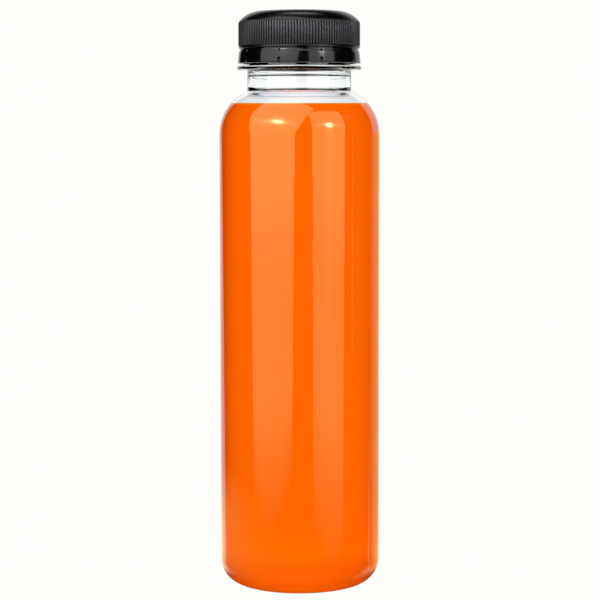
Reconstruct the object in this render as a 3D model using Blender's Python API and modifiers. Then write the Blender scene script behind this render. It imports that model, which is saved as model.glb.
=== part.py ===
"""Clear plastic juice bottle, filled with an orange drink and shut with a black screw cap.

Four solids stand on one upright axis: the bottle, the drink inside it, the cap and the ring that
stays on the neck when the cap is first unscrewed. Lengths are metres and +Z is up. The origin is
on the axis, in the plane of the ring that the bottle stands on.
"""
import math

import bmesh
import bpy

COLLECTION = "juice_bottle"
CUTTERS = "juice_bottle_cutters"

# Facets round the axis.
TURN_STEPS = 48
WELD = 0.00001

# Outside of the bottle.
BODY_R = 0.0275
HEEL_R = 0.0083
SHOULDER_Z = 0.1561
SHOULDER_R = 0.0160
NECK_R = 0.01785
FLANGE_Z = 0.1780
FLANGE_H = 0.0012
FLANGE_R = 0.02135
EDGE = 0.00025
FINISH_R = 0.0176
BEAD_R = 0.0189
BEAD_Z = 0.1822
BEAD_H = 0.0012
LIP_Z = 0.19495

# Walls of the bottle.
BODY_WALL = 0.0005
BASE_WALL = 0.0006
SHOULDER_WALL = 0.0008
WALL_EVEN_FROM = math.radians(40.0)
NECK_BORE_R = 0.0161
BORE_CORNER_R = 0.0030
BORE_CORNER_TURN = math.radians(60.0)
BORE_R = 0.01585
NECK_STEP_LOW = 0.1755
NECK_STEP_HIGH = 0.1763

# Base: a flat ring to stand on, a dome pushed up inside it and grooves moulded across the dome.
RING_W = 0.0017
PUSH_UP = 0.0022
FLUTES = 8
FLUTE_IN = 0.0065
FLUTE_HALF_W = 0.0036
FLUTE_DEPTH = 0.0006
FLUTE_TURN = math.radians(22.5)

# Drink.
LEVEL_Z = 0.1663
CLEARANCE = 0.0003

# Cap, measured up from its lower edge.
CAP_Z = 0.18525
CAP_H = 0.01265
CAP_WALL_R = 0.0203
CAP_INNER_R = 0.0189
CAP_CEILING = 0.01005
CAP_TOP_FLAT_R = 0.0135
CAP_DOME_R = 0.0090
CAP_RIM_R = 0.0208
CAP_RIM_H = 0.00085
CAP_CHAMFER = 0.0009

# Grip ribs round the cap.
RIBS = 128
RIB_CREST_R = 0.02087
RIB_VALLEY_R = 0.02045
RIB_FOOT = 0.0009
RIB_SHOULDER = 0.0086
RIB_TOP = 0.0092
RIB_ROOT_R = 0.0196

# Tamper ring, measured up from its lower edge.
BAND_Z = 0.1801
BAND_H = 0.0048
BAND_INNER_R = 0.0195
BAND_FOOT_R = 0.02106
BAND_MIDDLE_R = 0.02088
BAND_MIDDLE_H = 0.0024
BAND_STEP_R = 0.02068
BAND_TOP_R = 0.02050
BAND_STEP_H = 0.0039
BAND_EDGE = 0.0002

# Base dome and its ring.
RING_OUT_R = BODY_R - HEEL_R
RING_IN_R = RING_OUT_R - RING_W
SHOULDER_CENTRE_R = BODY_R - SHOULDER_R
SHOULDER_END = math.acos((NECK_R - SHOULDER_CENTRE_R) / SHOULDER_R)
NECK_Z = SHOULDER_Z + SHOULDER_R * math.sin(SHOULDER_END)


def arc(centre_r, centre_z, radius, start, end, steps):
    """Points (r, z) along an arc, both ends included; angles rise from the outward direction."""
    points = []
    for step in range(steps + 1):
        angle = start + (end - start) * step / steps
        points.append((centre_r + radius * math.cos(angle), centre_z + radius * math.sin(angle)))
    return points


def push_up_z(r):
    """Height of the outside of the base at radius r, inside the standing ring."""
    return PUSH_UP * (0.5 + 0.5 * math.cos(math.pi * r / RING_IN_R))


def dome(lift, steps):
    """The base dome from the axis out to the standing ring, raised by lift."""
    radii = [RING_IN_R * step / steps for step in range(steps + 1)]
    return [(r, push_up_z(r) + lift) for r in radii]


def flute_lift(r, angle):
    """How far a groove in the base lifts the wall at a radius and an angle round the axis."""
    if not FLUTE_IN < r < RING_IN_R:
        return 0.0
    pitch = 2.0 * math.pi / FLUTES
    off_centre = (angle - FLUTE_TURN + pitch / 2.0) % pitch - pitch / 2.0
    across = abs(off_centre) * r / FLUTE_HALF_W
    if across >= 1.0:
        return 0.0
    along = (r - FLUTE_IN) / (RING_IN_R - FLUTE_IN)
    return FLUTE_DEPTH * math.sin(math.pi * along) * math.cos(math.pi * across / 2.0) ** 2


def shoulder_inner_r(angle):
    """Radius of the wall's inside about the shoulder's centre: it thickens, then stays even."""
    part = 0.5 - 0.5 * math.cos(math.pi * min(angle / WALL_EVEN_FROM, 1.0))
    return SHOULDER_R - BODY_WALL - (SHOULDER_WALL - BODY_WALL) * part


def inner_shoulder(gap, last_angle, steps):
    """The inside of the shoulder, set in by gap, from the body up to last_angle."""
    points = []
    for step in range(steps + 1):
        angle = last_angle * step / steps
        radius = shoulder_inner_r(angle) - gap
        r = SHOULDER_CENTRE_R + radius * math.cos(angle)
        points.append((r, SHOULDER_Z + radius * math.sin(angle)))
    return points


def bore_corner(start):
    """From the inside of the shoulder, up a straight slope and round into the neck's bore."""
    foot_r = NECK_BORE_R + BORE_CORNER_R * (1.0 - math.cos(BORE_CORNER_TURN))
    foot_z = start[1] + (start[0] - foot_r) / math.tan(BORE_CORNER_TURN)
    centre_z = foot_z + BORE_CORNER_R * math.sin(BORE_CORNER_TURN)
    centre_r = NECK_BORE_R + BORE_CORNER_R
    return arc(centre_r, centre_z, BORE_CORNER_R, math.pi + BORE_CORNER_TURN, math.pi, 3)


def bottle_profile():
    """Half section of the bottle: up the inside, over the lip and down the outside."""
    inside = dome(BASE_WALL, 7)
    inside += arc(RING_OUT_R, HEEL_R, HEEL_R - BODY_WALL, -math.pi / 2, 0.0, 5)
    inside += inner_shoulder(0.0, BORE_CORNER_TURN, 6)
    inside += bore_corner(inside[-1])
    inside += [(NECK_BORE_R, NECK_STEP_LOW), (BORE_R, NECK_STEP_HIGH), (BORE_R, LIP_Z - EDGE)]
    lip = [(BORE_R + EDGE, LIP_Z), (FINISH_R - EDGE, LIP_Z), (FINISH_R, LIP_Z - EDGE)]
    bead = [
        (FINISH_R, BEAD_Z + BEAD_H),
        (BEAD_R, BEAD_Z + BEAD_H / 2),
        (BEAD_R, BEAD_Z),
        (FINISH_R, BEAD_Z),
    ]
    flange_top = FLANGE_Z + FLANGE_H
    flange = [
        (FINISH_R, flange_top),
        (FLANGE_R - EDGE, flange_top),
        (FLANGE_R, flange_top - EDGE),
        (FLANGE_R, FLANGE_Z + EDGE),
        (FLANGE_R - EDGE, FLANGE_Z),
        (NECK_R, FLANGE_Z),
    ]
    shoulder = arc(SHOULDER_CENTRE_R, SHOULDER_Z, SHOULDER_R, SHOULDER_END, 0.0, 8)
    heel = arc(RING_OUT_R, HEEL_R, HEEL_R, 0.0, -math.pi / 2, 6)
    underside = list(reversed(dome(0.0, 7)))
    return inside + lip + bead + flange + shoulder + heel + underside


def level_angle():
    """Angle on the inside of the shoulder at which the drink's edge lies."""
    angle = 0.0
    for _ in range(30):
        radius = shoulder_inner_r(angle) - CLEARANCE
        angle = math.asin((LEVEL_Z - SHOULDER_Z) / radius)
    return angle


def juice_profile():
    """Half section of the drink: from the middle of its top, down the wall and under."""
    top = [(0.0, LEVEL_Z)]
    side = list(reversed(inner_shoulder(CLEARANCE, level_angle(), 5)))
    heel_r = HEEL_R - BODY_WALL - CLEARANCE
    heel = arc(RING_OUT_R, HEEL_R, heel_r, 0.0, -math.pi / 2, 5)
    lift = BASE_WALL + CLEARANCE * 1.4
    return top + side + heel + list(reversed(dome(lift, 7)))


def cap_profile():
    """Half section of the cap: out over the dome, down the outside and up the inside."""
    dome_sweep = math.asin((CAP_WALL_R - CAP_TOP_FLAT_R) / CAP_DOME_R)
    centre_z = CAP_H - CAP_DOME_R
    crown = arc(CAP_TOP_FLAT_R, centre_z, CAP_DOME_R, math.pi / 2, math.pi / 2 - dome_sweep, 5)
    foot = [
        (CAP_WALL_R, CAP_RIM_H + EDGE / 2),
        (CAP_RIM_R, CAP_RIM_H - EDGE / 2),
        (CAP_RIM_R, EDGE),
        (CAP_RIM_R - EDGE, 0.0),
        (CAP_INNER_R, 0.0),
    ]
    inside = [
        (CAP_INNER_R, CAP_CEILING - CAP_CHAMFER),
        (CAP_INNER_R - CAP_CHAMFER, CAP_CEILING),
        (0.0, CAP_CEILING),
    ]
    return [(0.0, CAP_H)] + crown + foot + inside


def band_profile():
    """Section of the tamper ring, closed on itself: down the outside and up the inside."""
    return [
        (BAND_INNER_R, BAND_H),
        (BAND_TOP_R - BAND_EDGE, BAND_H),
        (BAND_TOP_R, BAND_H - BAND_EDGE),
        (BAND_TOP_R, BAND_STEP_H + BAND_EDGE / 2),
        (BAND_STEP_R, BAND_STEP_H - BAND_EDGE / 2),
        (BAND_MIDDLE_R, BAND_MIDDLE_H),
        (BAND_FOOT_R, BAND_EDGE),
        (BAND_FOOT_R - BAND_EDGE, 0.0),
        (BAND_INNER_R, 0.0),
    ]


def without_repeats(points):
    """The same points with neighbours that coincide taken out."""
    kept = []
    for point in points:
        if not kept or math.dist(point, kept[-1]) > WELD:
            kept.append(point)
    return kept


def material(name, color, roughness, transmission=0.0, ior=1.5, alpha=1.0):
    """A plain Principled material."""
    made = bpy.data.materials.new(name)
    made.use_nodes = True
    shader = made.node_tree.nodes["Principled BSDF"]
    shader.inputs["Base Color"].default_value = (*color, 1.0)
    shader.inputs["Roughness"].default_value = roughness
    shader.inputs["Metallic"].default_value = 0.0
    shader.inputs["Transmission Weight"].default_value = transmission
    shader.inputs["IOR"].default_value = ior
    made.diffuse_color = (*color, alpha)
    return made


def turned(name, points, closed, finish, collection):
    """An object whose profile a Screw modifier turns about the upright axis."""
    points = without_repeats(points)
    edges = [(index, index + 1) for index in range(len(points) - 1)]
    if closed:
        edges.append((len(points) - 1, 0))
    mesh = bpy.data.meshes.new(name)
    mesh.from_pydata([(r, 0.0, z) for r, z in points], edges, [])
    made = bpy.data.objects.new(name, mesh)
    mesh.materials.append(finish)
    collection.objects.link(made)
    screw = made.modifiers.new("turn", "SCREW")
    screw.axis = "Z"
    screw.steps = TURN_STEPS
    screw.render_steps = TURN_STEPS
    screw.use_merge_vertices = True
    screw.merge_threshold = WELD
    screw.use_smooth_shade = True
    return made


def applied(obj):
    """Replace an object's mesh by what its modifiers make of it."""
    bpy.context.view_layer.update()
    evaluated = obj.evaluated_get(bpy.context.evaluated_depsgraph_get())
    mesh = bpy.data.meshes.new_from_object(evaluated)
    mesh.name = obj.name
    source = obj.data
    obj.modifiers.clear()
    obj.data = mesh
    bpy.data.meshes.remove(source)


def press_flutes(obj):
    """Lift the base of a turned object along the grooves moulded into it."""
    bm = bmesh.new()
    bm.from_mesh(obj.data)
    for vert in bm.verts:
        if vert.co.z < HEEL_R:
            r = math.hypot(vert.co.x, vert.co.y)
            vert.co.z += flute_lift(r, math.atan2(vert.co.y, vert.co.x))
    bm.to_mesh(obj.data)
    bm.free()


def soften(obj):
    """Smooth shading that keeps the real corners sharp."""
    obj.data.shade_smooth()
    obj.data.set_sharp_from_angle(angle=math.radians(30.0))


def rib_loop(bm, z, crest, valley):
    """A closed ring of edges that runs from crest to valley at every rib."""
    ring = bmesh.ops.create_circle(bm, cap_ends=False, radius=1.0, segments=2 * RIBS)["verts"]
    step = math.pi / RIBS
    for vert in ring:
        place = round(math.atan2(vert.co.y, vert.co.x) / step)
        radius = crest if place % 2 == 0 else valley
        vert.co.x *= radius
        vert.co.y *= radius
        vert.co.z = z
    return list({edge for vert in ring for edge in vert.link_edges})


def rib_sleeve(collection):
    """The ribbed sleeve that is joined to the cap's wall."""
    bm = bmesh.new()
    loops = [
        rib_loop(bm, RIB_FOOT, RIB_CREST_R, RIB_VALLEY_R),
        rib_loop(bm, RIB_SHOULDER, RIB_CREST_R, RIB_VALLEY_R),
        rib_loop(bm, RIB_TOP, RIB_VALLEY_R, RIB_VALLEY_R - EDGE / 4),
        rib_loop(bm, RIB_TOP, RIB_ROOT_R, RIB_ROOT_R),
        rib_loop(bm, RIB_FOOT, RIB_ROOT_R, RIB_ROOT_R),
    ]
    for index, loop in enumerate(loops):
        bmesh.ops.bridge_loops(bm, edges=loop + loops[(index + 1) % len(loops)])
    bmesh.ops.recalc_face_normals(bm, faces=bm.faces[:])
    mesh = bpy.data.meshes.new("rib_sleeve")
    bm.to_mesh(mesh)
    bm.free()
    sleeve = bpy.data.objects.new("rib_sleeve", mesh)
    sleeve.hide_render = True
    sleeve.display_type = "WIRE"
    collection.objects.link(sleeve)
    return sleeve


def make_bottle(collection):
    """The clear blow-moulded bottle."""
    clear = material("clear_pet", (0.93, 0.95, 0.95), 0.05, transmission=1.0, ior=1.575, alpha=0.3)
    bottle = turned("bottle", bottle_profile(), False, clear, collection)
    applied(bottle)
    press_flutes(bottle)
    soften(bottle)


def make_juice(collection):
    """The drink, up to its level in the shoulder."""
    orange = material("orange_drink", (1.0, 0.14, 0.0), 0.1, ior=1.35)
    juice = turned("juice", juice_profile(), False, orange, collection)
    applied(juice)
    press_flutes(juice)
    soften(juice)


def make_cap(collection, cutters):
    """The black screw cap, with grip ribs joined round its wall."""
    black = material("black_pp", (0.012, 0.013, 0.014), 0.25)
    cap = turned("cap", cap_profile(), False, black, collection)
    cap.location.z = CAP_Z
    sleeve = rib_sleeve(cutters)
    sleeve.parent = cap
    joined = cap.modifiers.new("ribs", "BOOLEAN")
    joined.operation = "UNION"
    joined.solver = "EXACT"
    joined.object = sleeve


def make_band(collection):
    """The ring that the cap's first turn breaks off and that stays on the neck."""
    black = material("black_band_pp", (0.012, 0.013, 0.014), 0.2)
    band = turned("tamper_band", band_profile(), True, black, collection)
    band.location.z = BAND_Z


def main():
    for obj in list(bpy.data.objects):
        bpy.data.objects.remove(obj, do_unlink=True)
    parts = bpy.data.collections.new(COLLECTION)
    cutters = bpy.data.collections.new(CUTTERS)
    bpy.context.scene.collection.children.link(parts)
    bpy.context.scene.collection.children.link(cutters)
    make_bottle(parts)
    make_juice(parts)
    make_cap(parts, cutters)
    make_band(parts)


main()
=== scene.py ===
# %% [markdown]
# A juice bottle of clear plastic, filled with an orange drink and shut with a black screw cap.
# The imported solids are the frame: they give the true sizes, and everything made below is laid
# on them. Four fine pieces take the place of the four plain solids, because clear plastic shows
# every facet: the bottle's shell, the drink, the cap with its grip ribs and the tamper ring.

# %% Load the frame
import math

import bmesh
import bpy
from mathutils import Matrix, Vector


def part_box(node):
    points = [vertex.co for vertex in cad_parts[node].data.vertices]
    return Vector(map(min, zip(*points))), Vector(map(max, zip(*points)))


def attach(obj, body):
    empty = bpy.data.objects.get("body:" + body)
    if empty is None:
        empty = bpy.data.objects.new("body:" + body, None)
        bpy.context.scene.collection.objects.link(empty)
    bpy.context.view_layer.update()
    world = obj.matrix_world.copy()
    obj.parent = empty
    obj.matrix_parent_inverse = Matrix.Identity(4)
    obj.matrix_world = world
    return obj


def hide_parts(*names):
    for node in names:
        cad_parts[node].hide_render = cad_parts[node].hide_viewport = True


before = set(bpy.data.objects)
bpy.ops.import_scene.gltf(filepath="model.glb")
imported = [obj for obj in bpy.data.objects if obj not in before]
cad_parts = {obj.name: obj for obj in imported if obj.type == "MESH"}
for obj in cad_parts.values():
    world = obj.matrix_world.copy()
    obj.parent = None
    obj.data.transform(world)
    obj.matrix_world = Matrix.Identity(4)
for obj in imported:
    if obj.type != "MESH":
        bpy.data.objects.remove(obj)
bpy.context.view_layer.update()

# %% [markdown]
# Every size starts from a few numbers. Those that the solids can give are read from their boxes,
# so the bottle's radius, the lip, the drink's level and the cap always fit the frame. The rest
# are the usual sizes of a blow-moulded bottle with a wide neck, in metres.

# %% Sizes read from the frame
MM = 0.001
BODY_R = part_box("bottle")[1].x
LIP_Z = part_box("bottle")[1].z
LEVEL_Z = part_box("juice")[1].z
CAP_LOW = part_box("cap")[0].z
CAP_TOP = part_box("cap")[1].z
RIB_CREST_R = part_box("cap")[1].x
BAND_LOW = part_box("tamper_band")[0].z
BAND_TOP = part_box("tamper_band")[1].z
BAND_FOOT_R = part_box("tamper_band")[1].x
print("body mm:", round(BODY_R / MM, 2), "level mm:", round(LEVEL_Z / MM, 2))

# %% [markdown]
# The shell has the usual forms of a blown bottle with a moulded neck. The flange leans in towards
# its underside. The shoulder's wall grows from the body's wall to its own, and is even from the
# angle WALL_EVEN_FROM on. Above it a core pin made the bore, which narrows by two small steps.

# %% Sizes of the shell
HEEL_R = 8.3 * MM
SHOULDER_Z = 156.1 * MM
SHOULDER_R = 16.0 * MM
NECK_R = 17.85 * MM
FLANGE_Z = 178.0 * MM
FLANGE_H = 1.2 * MM
FLANGE_R = 21.35 * MM
FLANGE_EDGE = 0.25 * MM
FLANGE_SLANT_H = 0.65 * MM
FLANGE_SLANT_IN = 0.3 * MM
FLANGE_FILLET = 0.4 * MM
NECK_FILLET = 0.25 * MM
FINISH_R = 17.6 * MM
BEAD_R = 18.9 * MM
BEAD_Z = 182.2 * MM
BEAD_H = 1.2 * MM
EDGE_R = 0.25 * MM
BODY_WALL = 0.5 * MM
BASE_WALL = 0.6 * MM
SHOULDER_WALL = 0.8 * MM
WALL_EVEN_FROM = 40.0
BORE_R = 15.85 * MM
NECK_BORE_R = 16.25 * MM
NECK_STEPS = ((175.9 * MM, 16.05 * MM), (177.8 * MM, 15.85 * MM))
NECK_STEP_H = 0.7 * MM
BORE_CORNER_R = 2.4 * MM
BORE_CORNER_TURN = 60.0
RING_W = 1.7 * MM
PUSH_UP = 2.2 * MM
FLUTES = 8
FLUTE_IN = 6.5 * MM
FLUTE_HALF_W = 3.6 * MM
FLUTE_DEPTH = 0.6 * MM
FLUTE_TURN = math.radians(22.5)
RING_OUT_R = BODY_R - HEEL_R
RING_IN_R = RING_OUT_R - RING_W
SHOULDER_CENTRE_R = BODY_R - SHOULDER_R
print("standing ring mm:", round(RING_IN_R / MM, 2), "to", round(RING_OUT_R / MM, 2))

# %% [markdown]
# A turned piece starts as half of its section: a chain of points (radius, height). Straight runs
# need only their ends, and a round stretch is an arc, so one helper makes the arcs. The bmesh
# operator spin then sweeps the chain round the upright axis, as a lathe or a round mould would.

# %% Turn a section into a solid
TURN_STEPS = 192
POINT_GAP = 0.002 * MM
MERGE_GAP = 0.001 * MM
SHARP_DEGREES = 35.0


def on_circle(centre_r, centre_z, radius, degrees):
    """A point (r, z) of a circle; 0 degrees points outwards, 90 up."""
    angle = math.radians(degrees)
    return (centre_r + radius * math.cos(angle), centre_z + radius * math.sin(angle))


def arc(centre_r, centre_z, radius, start, end, steps):
    """Points along an arc, ends included."""
    angles = [start + (end - start) * step / steps for step in range(steps + 1)]
    return [on_circle(centre_r, centre_z, radius, angle) for angle in angles]


def spin_section(points, steps, closed=False):
    """A bmesh whose walls are the section swept once round the upright axis."""
    bm = bmesh.new()
    chain = []
    for r, z in points:
        if not chain or (Vector((r, 0.0, z)) - chain[-1].co).length > POINT_GAP:
            chain.append(bm.verts.new((r, 0.0, z)))
    edges = [bm.edges.new(pair) for pair in zip(chain, chain[1:])]
    if closed:
        edges.append(bm.edges.new((chain[-1], chain[0])))
    bmesh.ops.spin(
        bm,
        geom=chain + edges,
        cent=(0.0, 0.0, 0.0),
        axis=(0.0, 0.0, 1.0),
        angle=math.tau,
        steps=steps,
        use_merge=True,
    )
    bmesh.ops.remove_doubles(bm, verts=bm.verts[:], dist=MERGE_GAP)
    bmesh.ops.recalc_face_normals(bm, faces=bm.faces[:])
    return bm


def piece_from(bm, name):
    """Store a bmesh as a piece of the object, smooth except at its real corners."""
    mesh = bpy.data.meshes.new(name)
    bm.to_mesh(mesh)
    bm.free()
    mesh.shade_smooth()
    mesh.set_sharp_from_angle(angle=math.radians(SHARP_DEGREES))
    piece = bpy.data.objects.new(name, mesh)
    bpy.context.scene.collection.objects.link(piece)
    print(name, "faces:", len(mesh.polygons))
    return piece


# %% [markdown]
# The base of such a bottle is pushed up into a shallow dome, so that it stands on a ring and
# doesn't rock. Grooves across the dome stiffen it. The dome is part of the section, and the
# grooves are pressed in afterwards, by lifting the points that lie inside each of them.

# %% The base
DOME_STEPS = 24


def push_up_z(r):
    """Height of the base's outside at radius r, inside the standing ring."""
    return PUSH_UP * (0.5 + 0.5 * math.cos(math.pi * r / RING_IN_R))


def dome(lift):
    """The base dome from the axis to the standing ring, raised by lift."""
    radii = [RING_IN_R * step / DOME_STEPS for step in range(DOME_STEPS + 1)]
    return [(r, push_up_z(r) + lift) for r in radii]


def flute_lift(r, angle):
    """How far a groove lifts the base at a radius and an angle round the axis."""
    if not FLUTE_IN < r < RING_IN_R:
        return 0.0
    pitch = math.tau / FLUTES
    off_centre = (angle - FLUTE_TURN + pitch / 2) % pitch - pitch / 2
    across = abs(off_centre) * r / FLUTE_HALF_W
    if across >= 1.0:
        return 0.0
    outwards = (r - FLUTE_IN) / (RING_IN_R - FLUTE_IN)
    return FLUTE_DEPTH * math.sin(math.pi * outwards) * math.cos(math.pi * across / 2) ** 2


def press_flutes(bm):
    """Lift the points of the base that lie in the grooves."""
    for vert in bm.verts:
        if vert.co.z < HEEL_R:
            r = math.hypot(vert.co.x, vert.co.y)
            vert.co.z += flute_lift(r, math.atan2(vert.co.y, vert.co.x))


print("grooves:", FLUTES, "base pushed up mm:", round(push_up_z(0.0) / MM, 2))

# %% [markdown]
# The shell of a PET bottle is thin where it was blown and thick where it was not: the neck above
# the shoulder keeps the wall of the preform. That step bends the light into the dark lines
# that the neck shows, so the inside is drawn as carefully as the outside.

# %% Inside of the shell
SHOULDER_STEPS = 32
INNER_STEPS = 24
DRINK_STEPS = 20
HEEL_STEPS = 24
INNER_HEEL_STEPS = 20
FILLET_STEPS = 8
CORNER_STEPS = 6
OUTER_END = math.degrees(
    math.acos((NECK_R + NECK_FILLET - SHOULDER_CENTRE_R) / (SHOULDER_R + NECK_FILLET))
)


def shoulder_inner_radius(angle):
    """Inside radius of the shoulder's arc at an angle above the level, in degrees."""
    part = min(angle / WALL_EVEN_FROM, 1.0)
    thicker = (SHOULDER_WALL - BODY_WALL) * (0.5 - 0.5 * math.cos(math.pi * part))
    return SHOULDER_R - BODY_WALL - thicker


def inner_shoulder(shift, last_angle, steps):
    """The inside of the shoulder, moved outwards by shift, from the body up to last_angle."""
    points = []
    for step in range(steps + 1):
        angle = last_angle * step / steps
        radius = shoulder_inner_radius(angle) + shift
        points.append(on_circle(SHOULDER_CENTRE_R, SHOULDER_Z, radius, angle))
    return points


def bore_corner(start):
    """From the shoulder's inside, along a straight slope, round into the neck's bore."""
    turn = math.radians(BORE_CORNER_TURN)
    centre_r = NECK_BORE_R + BORE_CORNER_R
    end_r = NECK_BORE_R + BORE_CORNER_R * (1.0 - math.cos(turn))
    rise = (start[0] - end_r) / math.tan(turn)
    centre_z = start[1] + rise + BORE_CORNER_R * math.sin(turn)
    print("bore starts at mm:", round(centre_z / MM, 2))
    return arc(centre_r, centre_z, BORE_CORNER_R, 180 + BORE_CORNER_TURN, 180, FILLET_STEPS)


def neck_steps():
    """The short slopes where the core pin of the mould narrows the bore."""
    points = []
    from_r = NECK_BORE_R
    for middle_z, to_r in NECK_STEPS:
        for step in range(FILLET_STEPS + 1):
            part = 0.5 - 0.5 * math.cos(math.pi * step / FILLET_STEPS)
            z = middle_z + NECK_STEP_H * (step / FILLET_STEPS - 0.5)
            points.append((from_r + (to_r - from_r) * part, z))
        from_r = to_r
    return points


def shell_inside():
    """Up from the axis, over the base dome and the heel, to the top of the bore."""
    inside = dome(BASE_WALL)
    inside += arc(RING_OUT_R, HEEL_R, HEEL_R - BODY_WALL, -90, 0, INNER_HEEL_STEPS)
    inside += inner_shoulder(0.0, BORE_CORNER_TURN, INNER_STEPS)
    inside += bore_corner(inside[-1])
    return inside + neck_steps()


print("the shoulder ends at degrees:", round(OUTER_END, 1))

# %% [markdown]
# Down the outside come the lip, the bead that holds the tamper ring, the support flange by which
# the filling line carries the bottle, and the round fillet where the neck stands on the shoulder.

# %% Outside of the shell
def rounded_corner(r, z, turn_from, turn_to, radius=EDGE_R):
    """A small arc about (r, z)."""
    return arc(r, z, radius, turn_from, turn_to, CORNER_STEPS)


def neck_finish():
    """Over the lip and round the bead."""
    lip = rounded_corner(BORE_R + EDGE_R, LIP_Z - EDGE_R, 180, 90)
    lip += rounded_corner(FINISH_R - EDGE_R, LIP_Z - EDGE_R, 90, 0)
    bead = [(FINISH_R, BEAD_Z + BEAD_H), (BEAD_R, BEAD_Z + BEAD_H / 2)]
    return lip + bead + [(BEAD_R, BEAD_Z), (FINISH_R, BEAD_Z)]


def flange():
    """Out over the flange, down its leaning edge and back in under it to the neck."""
    top = FLANGE_Z + FLANGE_H
    edge, foot_edge, fillet = FLANGE_EDGE, EDGE_R / 2, FLANGE_FILLET
    lean = math.degrees(math.atan(FLANGE_SLANT_IN / FLANGE_SLANT_H))
    foot_r = FLANGE_R - FLANGE_SLANT_IN
    points = [(FINISH_R, top)]
    points += rounded_corner(FLANGE_R - edge, top - edge, 90, 0, edge)
    points += [(FLANGE_R, FLANGE_Z + FLANGE_SLANT_H)]
    points += rounded_corner(foot_r, FLANGE_Z + foot_edge, -lean, -90, foot_edge)
    return points + rounded_corner(NECK_R + fillet, FLANGE_Z - fillet, 90, 180, fillet)


def outer_shoulder():
    """Round the fillet at the neck's foot and down the shoulder to the body."""
    reach = SHOULDER_R + NECK_FILLET
    foot_r = NECK_R + NECK_FILLET
    foot_z = SHOULDER_Z + math.sqrt(reach**2 - (foot_r - SHOULDER_CENTRE_R) ** 2)
    neck_foot = arc(foot_r, foot_z, NECK_FILLET, 180, 180 + OUTER_END, FILLET_STEPS)
    return neck_foot + arc(
        SHOULDER_CENTRE_R, SHOULDER_Z, SHOULDER_R, OUTER_END, 0, SHOULDER_STEPS
    )


def bottle_section():
    """Up the inside, over the lip and down the outside, from axis to axis."""
    heel = arc(RING_OUT_R, HEEL_R, HEEL_R, 0, -90, HEEL_STEPS)
    outside = neck_finish() + flange() + outer_shoulder() + heel
    return shell_inside() + outside + list(reversed(dome(0.0)))


print("points in the outside of the neck:", len(neck_finish() + flange()))

# %% [markdown]
# The section is turned once, and the grooves are pressed into its base from both sides.

# %% Make the shell
shell_bm = spin_section(bottle_section(), TURN_STEPS)
press_flutes(shell_bm)
shell = piece_from(shell_bm, "bottle_shell")
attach(shell, "root")
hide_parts("bottle")

# %% [markdown]
# The drink fills the shell. If its surface lay a hair inside the wall, a film of air would show
# between the two, so it reaches a little way into the plastic instead. Where it meets the wall
# its surface climbs a little, as water does on any clean wall, and its points crowd there. The
# surface is drawn half a millimetre low, where the level shows best through the round wall.

# %% Make the drink
INTO_WALL = 0.12 * MM
LEVEL_DROP = 0.5 * MM
SURFACE_Z = LEVEL_Z - LEVEL_DROP
MENISCUS = 0.5 * MM
MENISCUS_REACH = 0.7 * MM
LEVEL_STEPS = 24
LEVEL_CROWDING = 0.4
ANGLE_ROUNDS = 20


def level_angle(z):
    """Angle on the shoulder's inside at height z."""
    angle = 0.0
    for _ in range(ANGLE_ROUNDS):
        radius = shoulder_inner_radius(angle) + INTO_WALL
        angle = math.degrees(math.asin((z - SHOULDER_Z) / radius))
    return angle


def drink_section():
    """From the middle of the drink's top, out, down the wall and under."""
    edge_z = SURFACE_Z + MENISCUS
    side = list(reversed(inner_shoulder(INTO_WALL, level_angle(edge_z), DRINK_STEPS)))
    edge_r = side[0][0]
    top = []
    for step in range(LEVEL_STEPS + 1):
        inward = (1.0 - (step / LEVEL_STEPS) ** LEVEL_CROWDING) * edge_r
        climb = MENISCUS * math.exp(-inward / MENISCUS_REACH)
        top.append((edge_r - inward, SURFACE_Z + climb))
    heel = arc(RING_OUT_R, HEEL_R, HEEL_R - BODY_WALL + INTO_WALL, 0, -90, INNER_HEEL_STEPS)
    return top + side[1:] + heel + list(reversed(dome(BASE_WALL - INTO_WALL)))


drink_bm = spin_section(drink_section(), TURN_STEPS)
press_flutes(drink_bm)
drink = piece_from(drink_bm, "orange_drink")
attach(drink, "root")
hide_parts("juice")

# %% [markdown]
# The cap is an injection moulding: a plain cup with a rounded edge and narrow ribs for the
# fingers. It is spun like the rest, with eight steps to a rib, and the points of the rib zone
# are then pulled out to the crests. The ribs run out at the top and end on a step at the foot.

# %% Make the cap
RIBS = 128
STEPS_PER_RIB = 8
RIB_VALLEY_R = 20.45 * MM
RIB_FOOT = 0.9 * MM
RIB_FOOT_END = 1.25 * MM
RIM_TOP = RIB_FOOT - 0.1 * MM
RIB_SHOULDER = 8.6 * MM
RIB_TOP = 9.3 * MM
CAP_WALL_R = 20.3 * MM
RIB_ZONE_R = CAP_WALL_R + 0.05 * MM
CAP_RIM_R = 20.8 * MM
CAP_INNER_R = 18.9 * MM
CAP_DOME_R = 9.0 * MM
CAP_FLAT_R = 13.5 * MM
CAP_CEILING = 10.05 * MM
CAP_CHAMFER = 0.9 * MM
CROWN_STEPS = 14
HAIR = 0.01 * MM
CAP_H = CAP_TOP - CAP_LOW


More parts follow.
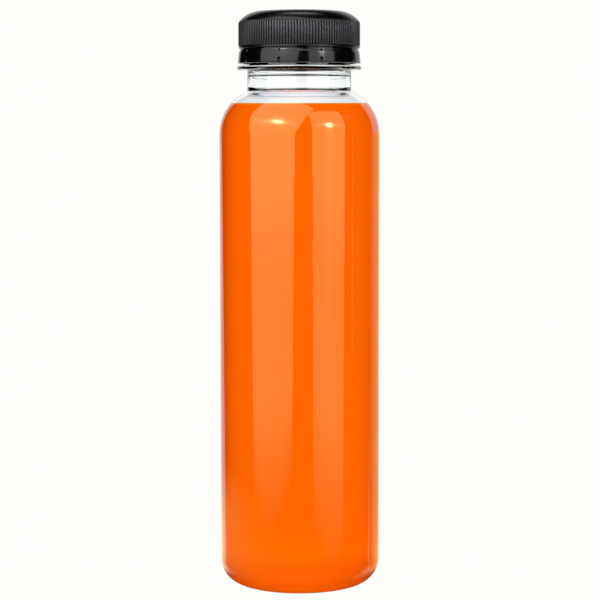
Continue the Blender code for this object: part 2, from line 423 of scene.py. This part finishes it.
def cap_section():
    """Out over the dome, down the outside, round the rim and up the inside."""
    sweep = math.degrees(math.asin((CAP_WALL_R - CAP_FLAT_R) / CAP_DOME_R))
    crown = arc(CAP_FLAT_R, CAP_H - CAP_DOME_R, CAP_DOME_R, 90, 90 - sweep, CROWN_STEPS)
    ribs = [(RIB_VALLEY_R, RIB_TOP), (RIB_VALLEY_R, RIB_SHOULDER)]
    ribs += [(RIB_VALLEY_R, RIB_FOOT_END), (RIB_VALLEY_R, RIB_FOOT)]
    rim = rounded_corner(CAP_RIM_R - EDGE_R, RIM_TOP - EDGE_R, 90, 0)
    rim += rounded_corner(CAP_RIM_R - EDGE_R, EDGE_R, 0, -90)
    inside = [(CAP_INNER_R, 0.0), (CAP_INNER_R, CAP_CEILING - CAP_CHAMFER)]
    inside += [(CAP_INNER_R - CAP_CHAMFER, CAP_CEILING), (0.0, CAP_CEILING)]
    section = [(0.0, CAP_H), (CAP_FLAT_R / 2, CAP_H)] + crown + ribs + rim + inside
    return [(r, z + CAP_LOW) for r, z in section]


def rib_wave(angle):
    """0 in a valley and 1 on a crest: each rib is half an ellipse."""
    off_crest = 2.0 * ((angle * RIBS / math.tau + 0.5) % 1.0) - 1.0
    return math.sqrt(max(0.0, 1.0 - off_crest * off_crest))


def rib_reach(z):
    """How much of its depth a rib has at height z above the cap's edge."""
    if z > RIB_TOP - HAIR or z < RIB_FOOT - HAIR:
        return 0.0
    if z > RIB_SHOULDER:
        return (RIB_TOP - z) / (RIB_TOP - RIB_SHOULDER)
    return 1.0


def raise_ribs(bm):
    """Pull the outer wall out to the rib crests."""
    for vert in bm.verts:
        r = math.hypot(vert.co.x, vert.co.y)
        reach = rib_reach(vert.co.z - CAP_LOW)
        if r > RIB_ZONE_R and reach > 0.0:
            wave = rib_wave(math.atan2(vert.co.y, vert.co.x))
            target = r + (RIB_CREST_R - RIB_VALLEY_R) * wave * reach
            vert.co.x *= target / r
            vert.co.y *= target / r


cap_bm = spin_section(cap_section(), RIBS * STEPS_PER_RIB)
raise_ribs(cap_bm)
cap = piece_from(cap_bm, "screw_cap")
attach(cap, "root")
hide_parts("cap")

# %% [markdown]
# Under a slit sits the ring that stays on the neck. It flares a little towards its foot and has
# a fine step near its top edge. It is turned in many steps, so that small pits can be pressed in
# where it is notched and bridged. Each row of pits has a height above the foot, half a width,
# half a height and a depth.

# %% Make the tamper ring
BAND_INNER_R = 19.5 * MM
BAND_TOP_R = 20.46 * MM
BAND_STEP = 0.1 * MM
BAND_STEP_H = 3.9 * MM
BAND_STEP_HALF = 0.06 * MM
BAND_LEAN = 1.5
BAND_ROWS = 30
BAND_H = BAND_TOP - BAND_LOW
BAND_STEPS = 1152
MARKS = 9
FRONT = -90.0
MARK_OFF_FRONT = 21.0
MARK_TURN = math.radians(FRONT + MARK_OFF_FRONT)
NOTCH = (1.0 * MM, 0.5 * MM, 0.85 * MM, 0.7 * MM)
BRIDGE = (4.2 * MM, 0.25 * MM, 0.6 * MM, 0.35 * MM)


def band_radius(z):
    """Outside radius at height z above the foot: upright at the foot, leaning in above."""
    return BAND_FOOT_R - (BAND_FOOT_R - BAND_TOP_R - BAND_STEP) * (z / BAND_H) ** BAND_LEAN


def band_section():
    """Down the outside, round the foot and up the inside."""
    outside = rounded_corner(BAND_TOP_R - EDGE_R, BAND_H - EDGE_R, 90, 0)
    outside += [(band_radius(BAND_STEP_H) - BAND_STEP, BAND_STEP_H + BAND_STEP_HALF)]
    below_step = BAND_STEP_H - BAND_STEP_HALF
    for step in range(BAND_ROWS + 1):
        z = below_step + (EDGE_R - below_step) * step / BAND_ROWS
        outside.append((band_radius(z), z))
    outside += rounded_corner(BAND_FOOT_R - EDGE_R, EDGE_R, 0, -90)
    section = [(BAND_INNER_R, BAND_H)] + outside + [(BAND_INNER_R, 0.0)]
    return [(r, z + BAND_LOW) for r, z in section]


def mark_depth(z, angle, radius):
    """Depth of the pits at the ring's notches and bridges, at a height above its foot."""
    pitch = math.tau / MARKS
    across = abs((angle - MARK_TURN + pitch / 2) % pitch - pitch / 2) * radius
    depth = 0.0
    for centre_z, half_width, half_height, pit in (NOTCH, BRIDGE):
        inside = 1.0 - (across / half_width) ** 2 - ((z - centre_z) / half_height) ** 2
        if inside > 0.0:
            depth = max(depth, pit * math.sqrt(inside))
    return depth


def press_marks(bm):
    """Push the ring's outer wall in at its marks."""
    for vert in bm.verts:
        r = math.hypot(vert.co.x, vert.co.y)
        if r > BAND_TOP_R - 2 * EDGE_R:
            pit = mark_depth(vert.co.z - BAND_LOW, math.atan2(vert.co.y, vert.co.x), r)
            vert.co.x *= (r - pit) / r
            vert.co.y *= (r - pit) / r


band_bm = spin_section(band_section(), BAND_STEPS, closed=True)
press_marks(band_bm)
band = piece_from(band_bm, "tamper_ring")
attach(band, "root")
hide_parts("tamper_band")

# %% [markdown]
# A thin black sheet stands behind the slit as painted shade: it keeps the slit dark, since
# without it light from the far side would shine through the slit.

# %% Make the dark sheet behind the slit, as painted shade
SHADE_SHEET_IN_R = 19.5 * MM
SHADE_SHEET_OUT_R = 19.8 * MM
SHADE_SHEET_LAP = 0.05 * MM


def shade_sheet_section():
    """A small upright rectangle that reaches a hair into the cap and the ring."""
    low = BAND_TOP - SHADE_SHEET_LAP
    high = CAP_LOW + SHADE_SHEET_LAP
    return [(SHADE_SHEET_IN_R, low), (SHADE_SHEET_OUT_R, low), (SHADE_SHEET_OUT_R, high), (SHADE_SHEET_IN_R, high)]


# The sheet is painted shade: a dark piece where the slit has only shade.
shade_sheet = piece_from(spin_section(shade_sheet_section(), TURN_STEPS, closed=True), "slit_painted_shade")
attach(shade_sheet, "root")

# %% [markdown]
# Materials are built from nodes. Two helpers do most: one turns a hex colour, as a paint chart
# gives it, into the linear numbers that the shader works in, and one adds a node with its
# settings and its links. Small ones on top start a material, end it and add a fine relief.

# %% Material helpers
def linear(hex_color):
    """Linear RGBA of an sRGB hex colour."""
    values = [int(hex_color[i : i + 2], 16) / 255 for i in (1, 3, 5)]
    return [v / 12.92 if v <= 0.04045 else ((v + 0.055) / 1.055) ** 2.4 for v in values] + [1.0]


def add_node(tree, kind, settings=None, links=None):
    """Add a node; links maps an input's name to the socket that feeds it."""
    node = tree.nodes.new(kind)
    for name, value in (settings or {}).items():
        if hasattr(node, name):
            setattr(node, name, value)
        else:
            node.inputs[name].default_value = value
    for name, socket in (links or {}).items():
        tree.links.new(socket, node.inputs[name])
    return node


def new_material(name, *pieces):
    """An empty node material, worn by the pieces after those that they wear already."""
    made = bpy.data.materials.new(name)
    made.use_nodes = True
    made.node_tree.nodes.clear()
    for piece in pieces:
        piece.data.materials.append(made)
    print("material", name, "on:", ", ".join(piece.name for piece in pieces))
    return made.node_tree


def principled(tree, settings, links=None):
    """A Principled shader that goes straight to the material's surface."""
    shader = add_node(tree, "ShaderNodeBsdfPrincipled", settings, links)
    add_node(tree, "ShaderNodeOutputMaterial", None, {"Surface": shader.outputs["BSDF"]})


def relief(tree, size, detail, strength, depth):
    """A bump of noise; size is the real size of one wave or grain."""
    place = add_node(tree, "ShaderNodeTexCoord").outputs["Object"]
    pattern = {"Scale": 1.0 / size, "Detail": detail}
    noise = add_node(tree, "ShaderNodeTexNoise", pattern, {"Vector": place})
    bump = {"Strength": strength, "Distance": depth}
    height = {"Height": noise.outputs["Fac"]}
    return add_node(tree, "ShaderNodeBump", bump, height).outputs["Normal"]


# %% [markdown]
# Clear PET, stretch blown against a polished mould: glossy, with a refractive index of 1.575, and
# a very slight waviness that a blown wall keeps. What its face mirrors straight on is tinted, since
# over the drink the softboxes then show as a paler orange and not as a grey veil.

# %% Clear PET
PET_IOR = 1.575
FULL_MIRROR = "#ffffff"
TINTED_MIRROR = "#ffffa6"
NO_MIRROR = "#000000"
WAVE_SIZE = 50.0 / 3.0 * MM
WAVE_DEPTH = 0.5 * MM
WAVE_STRENGTH = 0.02


def clear_pet(tint, mirror):
    """Settings of clear PET: what a wall leaves of the light, and how it tints what it mirrors."""
    return {
        "Base Color": linear(tint),
        "Roughness": 0.0,
        "IOR": PET_IOR,
        "Transmission Weight": 1.0,
        "Specular Tint": linear(mirror),
    }


def dress_shell(piece):
    """Blown PET: the glossy wall of the bottle, with soft waves in its reflections."""
    tree = new_material("clear_pet_blown", piece)
    waves = relief(tree, WAVE_SIZE, 1.0, WAVE_STRENGTH, WAVE_DEPTH)
    principled(tree, clear_pet("#fbfdfd", TINTED_MIRROR), {"Normal": waves})


dress_shell(shell)

# %% [markdown]
# Where the drink wets the wall, the two have nearly the same index, so the surface between them
# hardly mirrors. Those faces of the shell get their own copy of the plastic without a mirror.

# %% Wetted plastic
WETTED = 1


def is_wet(face):
    """True for the faces inside the shell that the drink touches."""
    centre = face.center
    if centre.z > SURFACE_Z + MENISCUS:
        return False
    outwards = face.normal.xy.dot(centre.xy.normalized())
    if centre.z > SHOULDER_Z:
        return outwards < 0.0
    return face.normal.z > outwards


def dress_wet(piece):
    """Wetted PET: it lets the drink's colour through and adds no second reflection."""
    tree = new_material("clear_pet_wetted", piece)
    principled(tree, clear_pet("#ffffff", NO_MIRROR))
    wet = [face for face in piece.data.polygons if is_wet(face)]
    for face in wet:
        face.material_index = WETTED
    print("wet faces:", len(wet))


dress_wet(shell)

# %% [markdown]
# Above the shoulder nothing is blown: the neck keeps the thick moulded wall of the preform, which
# is a trace greyer. It gets its own plastic.

# %% Moulded neck
MOULDED = 2
NECK_START_Z = SHOULDER_Z + SHOULDER_R * math.sin(math.radians(OUTER_END))


def dress_neck(piece):
    """Moulded PET: the clear neck, where the thick wall draws grey lines."""
    tree = new_material("clear_pet_moulded", piece)
    principled(tree, clear_pet("#f6f8f8", FULL_MIRROR))
    for face in piece.data.polygons:
        if face.center.z > NECK_START_Z:
            face.material_index = MOULDED


dress_neck(shell)

# %% [markdown]
# The drink is a slightly cloudy orange liquid. Its dye passes red, dims green and swallows blue,
# and much the same for a short way as for a long one, so the colour sits on the surface. The
# cloudiness is a rough surface that spreads what is seen through it, more so near the base. Where
# the drink climbs the wall it is a film too thin to look orange, and its pale grey is painted shade.
# Its flat top is a calm mirror, painted a dark orange as shade of the deep drink below it.

# %% Orange drink
ORANGE = "#fe6500"
# The top's dark orange is painted shade of the deep drink, and the thin film's pale grey is partly
# painted shade of the line at the level.
SHADED_DEEP_ORANGE = "#7c3c19"
FILM_GREY_SHADE = "#dacfc5"
FILM_AND_SHADE_Z = (SURFACE_Z + 0.05 * MM, SURFACE_Z + 0.25 * MM)
CLIMB_Z = (SURFACE_Z + 0.02 * MM, SURFACE_Z + 0.1 * MM)
CLEAR_ROUGHNESS = 0.3
SUNK_ROUGHNESS = 0.6
SUNK_Z = (8.0 * MM, 18.0 * MM)
DRINK_IOR = 1.35
MIX_A = 6
MIX_B = 7
MIX_RESULT = 2
LEVEL = 1
UPRIGHT = 0.0005


def dress_drink(piece, name, orange, film_and_shade_z, mirror, calm):
    """The drink's colour and cloudiness; the film heights are where it thins to a pale film, greyed
    as painted shade, and calm is its upper roughness.
    """
    tree = new_material(name, piece)
    place = add_node(tree, "ShaderNodeTexCoord")
    parts = add_node(tree, "ShaderNodeSeparateXYZ", None, {"Vector": place.outputs["Object"]})
    height = {"Value": parts.outputs["Z"]}
    spread = {
        "interpolation_type": "SMOOTHSTEP",
        "From Min": SUNK_Z[0],
        "From Max": SUNK_Z[1],
        "To Min": SUNK_ROUGHNESS,
        "To Max": calm,
    }
    cloudy = add_node(tree, "ShaderNodeMapRange", spread, height)
    thin = {"From Min": film_and_shade_z[0], "From Max": film_and_shade_z[1]}
    film = add_node(tree, "ShaderNodeMapRange", thin, height)
    color = add_node(tree, "ShaderNodeMix", {"data_type": "RGBA"})
    tree.links.new(film.outputs["Result"], color.inputs["Factor"])
    color.inputs[MIX_A].default_value = linear(orange)
    # The pale grey of the film near the level is partly painted shade.
    color.inputs[MIX_B].default_value = linear(FILM_GREY_SHADE)
    tint = linear(mirror)
    settings = {"IOR": DRINK_IOR, "Transmission Weight": 1.0, "Specular Tint": tint}
    links = {"Roughness": cloudy.outputs["Result"], "Base Color": color.outputs[MIX_RESULT]}
    principled(tree, settings, links)


def is_level(face):
    """True for the faces of the drink that the air touches."""
    outwards = face.normal.xy.dot(face.center.xy.normalized())
    return face.center.z > SURFACE_Z - HAIR and face.normal.z > 0.0 and outwards <= UPRIGHT


dress_drink(drink, "orange_drink_cloudy", ORANGE, FILM_AND_SHADE_Z, NO_MIRROR, CLEAR_ROUGHNESS)
# The top wears a darker copy of the orange, as painted shade.
dress_drink(drink, "orange_drink_level_shaded", SHADED_DEEP_ORANGE, CLIMB_Z, FULL_MIRROR, 0.0)
for face in drink.data.polygons:
    if is_level(face):
        face.material_index = LEVEL

# %% [markdown]
# Cap and ring are black polypropylene. The mould of the cap is lightly textured, so the cap has a
# soft gloss, while the ring is polished.

# %% Black polypropylene
GRAIN_SIZE = 0.4 * MM
GRAIN_DEPTH = 0.1 * MM


def dress_black(name, roughness, grain, *pieces):
    """Black polypropylene: a near black that mirrors weakly, dulled by a fine grain."""
    tree = new_material(name, *pieces)
    settings = {
        "Base Color": linear("#0b0c0d"),
        "Roughness": roughness,
        "IOR": 1.49,
        "Specular IOR Level": 0.31,
    }
    grains = relief(tree, GRAIN_SIZE, 2.0, grain, GRAIN_DEPTH)
    principled(tree, settings, {"Normal": grains})


dress_black("black_pp_cap", 0.25, 0.05, cap)
# The black sheet behind the slit wears the ring's plastic too, as painted shade.
dress_black("black_pp_ring", 0.12, 0.02, band, shade_sheet)

# %% [markdown]
# A product photographer sets a bottle on a white table in front of a lit white wall. Seen straight
# on, both are so bright that they run into one white without a shadow. Light that comes through
# the bottle is a little brighter still, which makes up for what the plastic's surfaces send back.
# A ray's kind tells the three apart, and the same choice serves the table and the room. These
# helpers build the strengths of such lights from places and distances.

# %% Helpers for the set
def ramp(tree, socket, span):
    """1 up to the first value of span, falling to 0 at the second."""
    node = add_node(
        tree,
        "ShaderNodeMapRange",
        {"From Min": span[0], "From Max": span[1], "To Min": 1.0, "To Max": 0.0},
        {"Value": socket},
    )
    return node.outputs["Result"]


def maths(tree, operation, first, second=0.0):
    """A Math node; each input is a number or a socket."""
    node = add_node(tree, "ShaderNodeMath", {"operation": operation})
    for socket, value in zip(node.inputs, (first, second)):
        if isinstance(value, float):
            socket.default_value = value
        else:
            tree.links.new(value, socket)
    return node.outputs["Value"]


def bell(tree, squared):
    """A bell curve of a distance that is given squared."""
    return maths(tree, "EXPONENT", maths(tree, "MULTIPLY", squared, -1.0))


def along(tree, vector, way, origin=(0.0, 0.0, 0.0)):
    """How far a vector reaches along a way, from an origin."""
    moved = add_node(tree, "ShaderNodeVectorMath", {"operation": "SUBTRACT"})
    tree.links.new(vector, moved.inputs[0])
    moved.inputs[1].default_value = origin
    dot = add_node(tree, "ShaderNodeVectorMath", {"operation": "DOT_PRODUCT"})
    tree.links.new(moved.outputs["Vector"], dot.inputs[0])
    dot.inputs[1].default_value = way
    return dot.outputs["Value"]


def stage_piece(bm, name):
    """Store a bmesh as a piece of the set, which is not part of the object."""
    mesh = bpy.data.meshes.new(name)
    bm.to_mesh(mesh)
    bm.free()
    made = bpy.data.objects.new(name, mesh)
    bpy.context.scene.collection.objects.link(made)
    return made


# %% [markdown]
# The table glows evenly, with a brighter pool under the bottle: it lights the heel from below, as
# the glowing foot of the drink in the photograph shows.

# %% White table
WHITE = "#fdfefb"
SEEN_WHITE = 1.0
BACK_LIGHT = 1.2
TABLE_HALF = 3.0
POOL_R = 0.032
POOL_GLOW = 7.0


def pool(tree):
    """Strength of the table's light: brighter close to the bottle."""
    place = add_node(tree, "ShaderNodeTexCoord")
    away = add_node(tree, "ShaderNodeVectorMath", {"operation": "LENGTH"})
    tree.links.new(place.outputs["Object"], away.inputs[0])
    near = maths(tree, "DIVIDE", away.outputs["Value"], POOL_R)
    squared = maths(tree, "MULTIPLY", near, near)
    glow = maths(tree, "MULTIPLY", bell(tree, squared), POOL_GLOW)
    return maths(tree, "ADD", glow, BACK_LIGHT)


def white_floor():
    """The table: even for the camera, and with the pool for all other rays."""
    bm = bmesh.new()
    bmesh.ops.create_grid(bm, x_segments=1, y_segments=1, size=TABLE_HALF)
    made = stage_piece(bm, "floor")
    tree = new_material("white_table", made)
    path = add_node(tree, "ShaderNodeLightPath")
    strength = add_node(
        tree,
        "ShaderNodeMapRange",
        {"To Max": SEEN_WHITE},
        {"Value": path.outputs["Is Camera Ray"], "To Min": pool(tree)},
    )
    glow = add_node(
        tree, "ShaderNodeEmission", {"Color": linear(WHITE)}, {"Strength": strength.outputs["Result"]}
    )
    add_node(tree, "ShaderNodeOutputMaterial", None, {"Surface": glow.outputs[0]})
    made.visible_glossy = False


white_floor()

# %% [markdown]
# Two pieces of the set show in reflections alone. A white board lies round the bottle and shows in
# its foot, but not right under it, where the bottle's own shade keeps the rim dark. An orange card
# stands behind it on the right, for the orange light that the bottle throws back at its own edge.

# %% Board and card
BOARD_R = 0.16
BOARD_EVEN_R = 0.05
BOARD_CENTRE = (-0.08, 0.04, 0.1 * MM)
BOARD_COLOR = "#fffcaa"
BOARD_GLOW = 0.5
BOARD_SIDES = 96
CONTACT_R = (0.028, 0.036)
CARD_Y = 0.06
CARD_SPAN = (0.03, 0.14, -0.03, 0.157)
CARD_FADE = (0.09, 0.14)
CARD_COLOR = "#ffbf7c"
CARD_GLOW = 1.25


def see_through_glow(tree, color, strength, clearness=None):
    """Light that is added to whatever lies behind the surface."""
    glow = add_node(tree, "ShaderNodeEmission", {"Color": color}, {"Strength": strength})
    clear = add_node(tree, "ShaderNodeBsdfTransparent")
    if clearness is not None:
        tree.links.new(clearness, clear.inputs["Color"])
    both = add_node(tree, "ShaderNodeAddShader")
    tree.links.new(glow.outputs[0], both.inputs[0])
    tree.links.new(clear.outputs[0], both.inputs[1])
    add_node(tree, "ShaderNodeOutputMaterial", None, {"Surface": both.outputs[0]})


def only_in_mirrors(piece):
    """A glowing piece that shows in reflections alone."""
    piece.visible_camera = False
    piece.visible_transmission = False
    piece.visible_shadow = False
    piece.visible_diffuse = False


def white_board():
    """The small white board that shows as a reflection in the foot of the bottle."""
    bm = bmesh.new()
    bmesh.ops.create_circle(bm, cap_ends=True, segments=BOARD_SIDES, radius=BOARD_R)
    bmesh.ops.translate(bm, vec=BOARD_CENTRE, verts=bm.verts[:])
    made = stage_piece(bm, "board")
    tree = new_material("white_board", made)
    place = add_node(tree, "ShaderNodeTexCoord")
    away = add_node(tree, "ShaderNodeVectorMath", {"operation": "DISTANCE"})
    tree.links.new(place.outputs["Object"], away.inputs[0])
    away.inputs[1].default_value = BOARD_CENTRE
    fade = add_node(
        tree,
        "ShaderNodeMapRange",
        {"From Min": BOARD_EVEN_R, "From Max": BOARD_R, "To Min": BOARD_GLOW, "To Max": 0.0},
        {"Value": away.outputs["Value"]},
    )
    reach = add_node(tree, "ShaderNodeVectorMath", {"operation": "LENGTH"})
    tree.links.new(place.outputs["Object"], reach.inputs[0])
    open_floor = maths(tree, "SUBTRACT", 1.0, ramp(tree, reach.outputs["Value"], CONTACT_R))
    glow = maths(tree, "MULTIPLY", fade.outputs["Result"], open_floor)
    see_through_glow(tree, linear(BOARD_COLOR), glow, open_floor)
    only_in_mirrors(made)


def orange_card():
    """Behind the bottle on the right stands the orange that the bottle throws back at itself."""
    low_x, high_x, low_z, high_z = CARD_SPAN
    bm = bmesh.new()
    corners = []
    for x, z in ((low_x, low_z), (high_x, low_z), (high_x, high_z), (low_x, high_z)):
        corners.append(bm.verts.new((x, CARD_Y, z)))
    bm.faces.new(corners)
    made = stage_piece(bm, "orange_card")
    tree = new_material("orange_card", made)
    place = add_node(tree, "ShaderNodeTexCoord")
    fade = ramp(tree, along(tree, place.outputs["Object"], (1.0, 0.0, 0.0)), CARD_FADE)
    strength = maths(tree, "MULTIPLY", fade, CARD_GLOW)
    color = {"Color": linear(CARD_COLOR)}
    glow = add_node(tree, "ShaderNodeEmission", color, {"Strength": strength})
    add_node(tree, "ShaderNodeOutputMaterial", None, {"Surface": glow.outputs[0]})
    only_in_mirrors(made)


white_board()
orange_card()

# %% [markdown]
# The room is a world in three parts. The camera sees white. Rays that pass through the bottle see
# the bright wall up to a height, and darkness above it: that darkness is what draws the dark lines
# in the clear neck. Reflections see a black room with the white wall behind.

# %% White room
ROOM_TOP = (0.62, 0.78)
WALL_WAY = (0.172, 0.985, 0.0)
WALL_SIDE = (0.75, 0.785)
WALL_SPREAD = 0.7
WALL_TOP = (0.45, 0.60)
WALL_GLOW = 0.85


def background(tree, strength):
    """A white background; strength is a number or a socket."""
    node = add_node(tree, "ShaderNodeBackground", {"Color": linear(WHITE)})
    if isinstance(strength, float):
        node.inputs["Strength"].default_value = strength
    else:
        tree.links.new(strength, node.inputs["Strength"])
    return node


def white_room():
    """A world whose strength depends on the kind of ray that meets it."""
    world = bpy.data.worlds.new("white_room")
    bpy.context.scene.world = world
    world.use_nodes = True
    tree = world.node_tree
    tree.nodes.clear()
    path = add_node(tree, "ShaderNodeLightPath")
    place = add_node(tree, "ShaderNodeTexCoord")
    way = place.outputs["Generated"]
    height = along(tree, way, (0.0, 0.0, 1.0))
    below = maths(tree, "MULTIPLY", maths(tree, "MINIMUM", height, 0.0), -WALL_SPREAD)
    aside = maths(tree, "ADD", along(tree, way, WALL_WAY), below)
    side = maths(tree, "SUBTRACT", 1.0, ramp(tree, aside, WALL_SIDE))
    wall = maths(tree, "MULTIPLY", side, ramp(tree, height, WALL_TOP))
    mirrored = background(tree, maths(tree, "MULTIPLY", wall, WALL_GLOW))
    through = background(tree, maths(tree, "MULTIPLY", ramp(tree, height, ROOM_TOP), BACK_LIGHT))
    seen = background(tree, SEEN_WHITE)
    first = add_node(
        tree, "ShaderNodeMixShader", None, {"Fac": path.outputs["Is Transmission Ray"]}
    )
    tree.links.new(mirrored.outputs[0], first.inputs[1])
    tree.links.new(through.outputs[0], first.inputs[2])
    second = add_node(tree, "ShaderNodeMixShader", None, {"Fac": path.outputs["Is Camera Ray"]})
    tree.links.new(first.outputs[0], second.inputs[1])
    tree.links.new(seen.outputs[0], second.inputs[2])
    add_node(tree, "ShaderNodeOutputWorld", None, {"Surface": second.outputs[0]})


white_room()

# %% [markdown]
# Two softboxes stand in front, left and right. Each is a white cloth with a lamp behind it, so it
# has an even glow, a hotter middle and a dimmer foot, and the bands on the bottle mirror them.
# They stand far off, so that every part of the bottle sees them in the same direction. The lamps
# behind them, the strips and the window are such cloths too, so one function makes them all.

# %% Softbox helpers
TARGET = Vector((0.0, 0.0, 0.16))
SOFTBOX_AWAY = 4.0
LAMP_AWAY = 3.9
PLAIN = {
    "away": SOFTBOX_AWAY,
    "color": (1.0, 1.0, 1.0, 1.0),
    "foot": (-1.0, -0.9),
    "fade": (-1.0, -0.9),
    "hot": [],
}


def softbox_glow(tree, place, frame_of, plan):
    """Strength over the cloth: the even glow, the dim foot and the hot spots."""
    side, up, centre = frame_of
    s_at = along(tree, place, side / plan["away"], centre)
    t_at = along(tree, place, up / plan["away"], centre)
    dim_foot = {
        "interpolation_type": "SMOOTHSTEP",
        "From Min": plan["foot"][0],
        "From Max": plan["foot"][1],
        "To Min": plan["foot_glow"],
        "To Max": plan["glow"],
    }
    total = add_node(tree, "ShaderNodeMapRange", dim_foot, {"Value": t_at}).outputs["Result"]
    for spot_s, spot_t, width, height, peak in plan["hot"]:
        across = maths(tree, "DIVIDE", maths(tree, "SUBTRACT", s_at, spot_s), width)
        upwards = maths(tree, "DIVIDE", maths(tree, "SUBTRACT", t_at, spot_t), height)
        across_squared = maths(tree, "MULTIPLY", across, across)
        upwards_squared = maths(tree, "MULTIPLY", upwards, upwards)
        spot = bell(tree, maths(tree, "ADD", across_squared, upwards_squared))
        total = maths(tree, "ADD", total, maths(tree, "MULTIPLY", spot, peak))
    fade = maths(tree, "SUBTRACT", 1.0, ramp(tree, t_at, plan["fade"]))
    return maths(tree, "MULTIPLY", total, fade)


def softbox(name, plan):
    """A glowing cloth. Its plane is square to facing; sizes are tangents from the target."""
    plan = {**PLAIN, "foot_glow": plan["glow"], **plan}
    normal = Vector(plan["facing"]).normalized()
    side = Vector(plan["across"])
    side = (side - side.dot(normal) * normal).normalized()
    up = normal.cross(side)
    if up.z < 0.0:
        up = -up
    low_s, high_s, low_t, high_t = plan["size"]
    bm = bmesh.new()
    corners = []
    for s, t in ((low_s, low_t), (high_s, low_t), (high_s, high_t), (low_s, high_t)):
        corners.append(bm.verts.new(TARGET + (normal + side * s + up * t) * plan["away"]))
    bm.faces.new(corners)
    made = stage_piece(bm, name)
    tree = new_material(name + "_cloth", made)
    place = add_node(tree, "ShaderNodeTexCoord").outputs["Object"]
    centre = TARGET + normal * plan["away"]
    glow = softbox_glow(tree, place, (side, up, centre), plan)
    see_through_glow(tree, plan["color"], glow)
    only_in_mirrors(made)


print("softboxes stand off by metres:", SOFTBOX_AWAY, "lamps by:", LAMP_AWAY)

# %% [markdown]
# Each plan gives the way to the cloth, its run across, its size from low to high across and up,
# and its glow. Where it has a foot or a fade, the glow changes between those two heights. A hot
# spot is its place across and up, its width and height, and its peak. What a plan leaves out is
# taken from PLAIN.

# %% The two softboxes
LEFT_FACING = (-0.582, -0.633, 0.5105)
LEFT_ACROSS = (0.736, -0.677, 0.0)
RIGHT_FACING = (0.578, -0.785, 0.224)
RIGHT_ACROSS = (0.810, 0.5845, -0.044)
LEFT_SOFTBOX = {
    "facing": LEFT_FACING,
    "across": LEFT_ACROSS,
    "size": (-0.71, 0.84, -1.05, 1.35),
    "glow": 2.6,
    "foot_glow": 1.6,
    "foot": (-0.73, -0.62),
    "fade": (-1.0, -0.86),
    "hot": [(0.1, -0.1, 0.5, 0.3, 1.2)],
}
RIGHT_SOFTBOX = {
    "facing": RIGHT_FACING,
    "across": RIGHT_ACROSS,
    "size": (-0.32, 0.635, -0.62, 0.89),
    "glow": 2.3,
    "foot_glow": 1.6,
    "foot": (-0.32, -0.24),
    "fade": (-0.55, -0.42),
    "hot": [(0.14, 0.05, 0.09, 0.3, 2.0)],
}
softbox("left_softbox", LEFT_SOFTBOX)
softbox("right_softbox", RIGHT_SOFTBOX)

# %% [markdown]
# The lamps are the same cloths seen again from a little nearer, dark but for their hot spots. They
# are a trace violet, which the tinted mirror of the plastic turns into a warm white.

# %% The two lamps
LEFT_LAMP = {
    "away": LAMP_AWAY,
    "facing": LEFT_FACING,
    "across": LEFT_ACROSS,
    "size": (-0.7, 0.84, -0.5, 0.6),
    "color": (1.0, 0.95, 1.2, 1.0),
    "glow": 0.0,
    "hot": [
        (0.13, -0.02, 0.11, 0.07, 20.0),
        (0.1, -0.02, 0.5, 0.07, 3.0),
        (0.13, 0.0, 0.2, 0.18, 2.5),
    ],
}
RIGHT_LAMP = {
    "away": LAMP_AWAY,
    "facing": RIGHT_FACING,
    "across": RIGHT_ACROSS,
    "size": (-0.32, 0.635, -0.4, 0.7),
    "color": (1.0, 0.97, 1.2, 1.0),
    "glow": 0.0,
    "hot": [(0.14, 0.14, 0.075, 0.07, 30.0), (0.14, 0.14, 0.3, 0.06, 4.0)],
}
softbox("left_lamp", LEFT_LAMP)
softbox("right_lamp", RIGHT_LAMP)

# %% [markdown]
# Three small lights finish the picture: a strip overhead for the edge of the cap's top, a narrow
# strip at the side for the thin line down the right of the bottle, and a window high on the right.

# %% Strips and window
OVERHEAD_STRIP = {
    "facing": (0.0, 0.4147, 0.91),
    "across": (1.0, 0.0, 0.0),
    "size": (-0.25, 0.25, -0.10, 0.10),
    "glow": 0.0,
    "hot": [(0.02, 0.0, 0.16, 0.045, 9.0)],
}
SIDE_STRIP = {
    "facing": (0.9888, -0.1495, 0.0),
    "across": (0.1495, 0.9888, 0.0),
    "size": (-0.02, 0.02, -0.14, 0.125),
    "glow": 0.5,
}
WINDOW = {
    "facing": (0.84, -0.1, 0.53),
    "across": (0.1, 0.84, 0.0),
    "size": (-0.14, 0.14, -0.1, 0.1),
    "glow": 0.35,
}
softbox("overhead_strip", OVERHEAD_STRIP)
softbox("side_strip", SIDE_STRIP)
softbox("small_window", WINDOW)

# %% [markdown]
# The camera stands where the photograph was taken: a little above the middle of the bottle, with
# a long lens, tipped down by five degrees.

# %% Camera
CAMERA_AWAY = 0.702
CAMERA_Z = 0.160
PITCH = math.radians(4.99)
FOCAL_PX = 2032.4
IMAGE_PX = 600
SENSOR_MM = 36.0
ROLL = math.radians(-0.077)
OFF_AXIS_PX = -0.44

lens = bpy.data.cameras.new("camera")
lens.sensor_width = SENSOR_MM
lens.lens = FOCAL_PX / IMAGE_PX * SENSOR_MM
camera = bpy.data.objects.new("camera", lens)
bpy.context.scene.collection.objects.link(camera)
turn_pitch = Matrix.Rotation(math.pi / 2 - PITCH, 4, "X")
turn_roll = Matrix.Rotation(ROLL, 4, "Z")
sideways = -OFF_AXIS_PX / FOCAL_PX * CAMERA_AWAY
camera.matrix_world = (
    Matrix.Translation((sideways, -CAMERA_AWAY, CAMERA_Z)) @ turn_pitch @ turn_roll
)
bpy.context.scene.camera = camera
bpy.context.scene.view_settings.view_transform = "Standard"
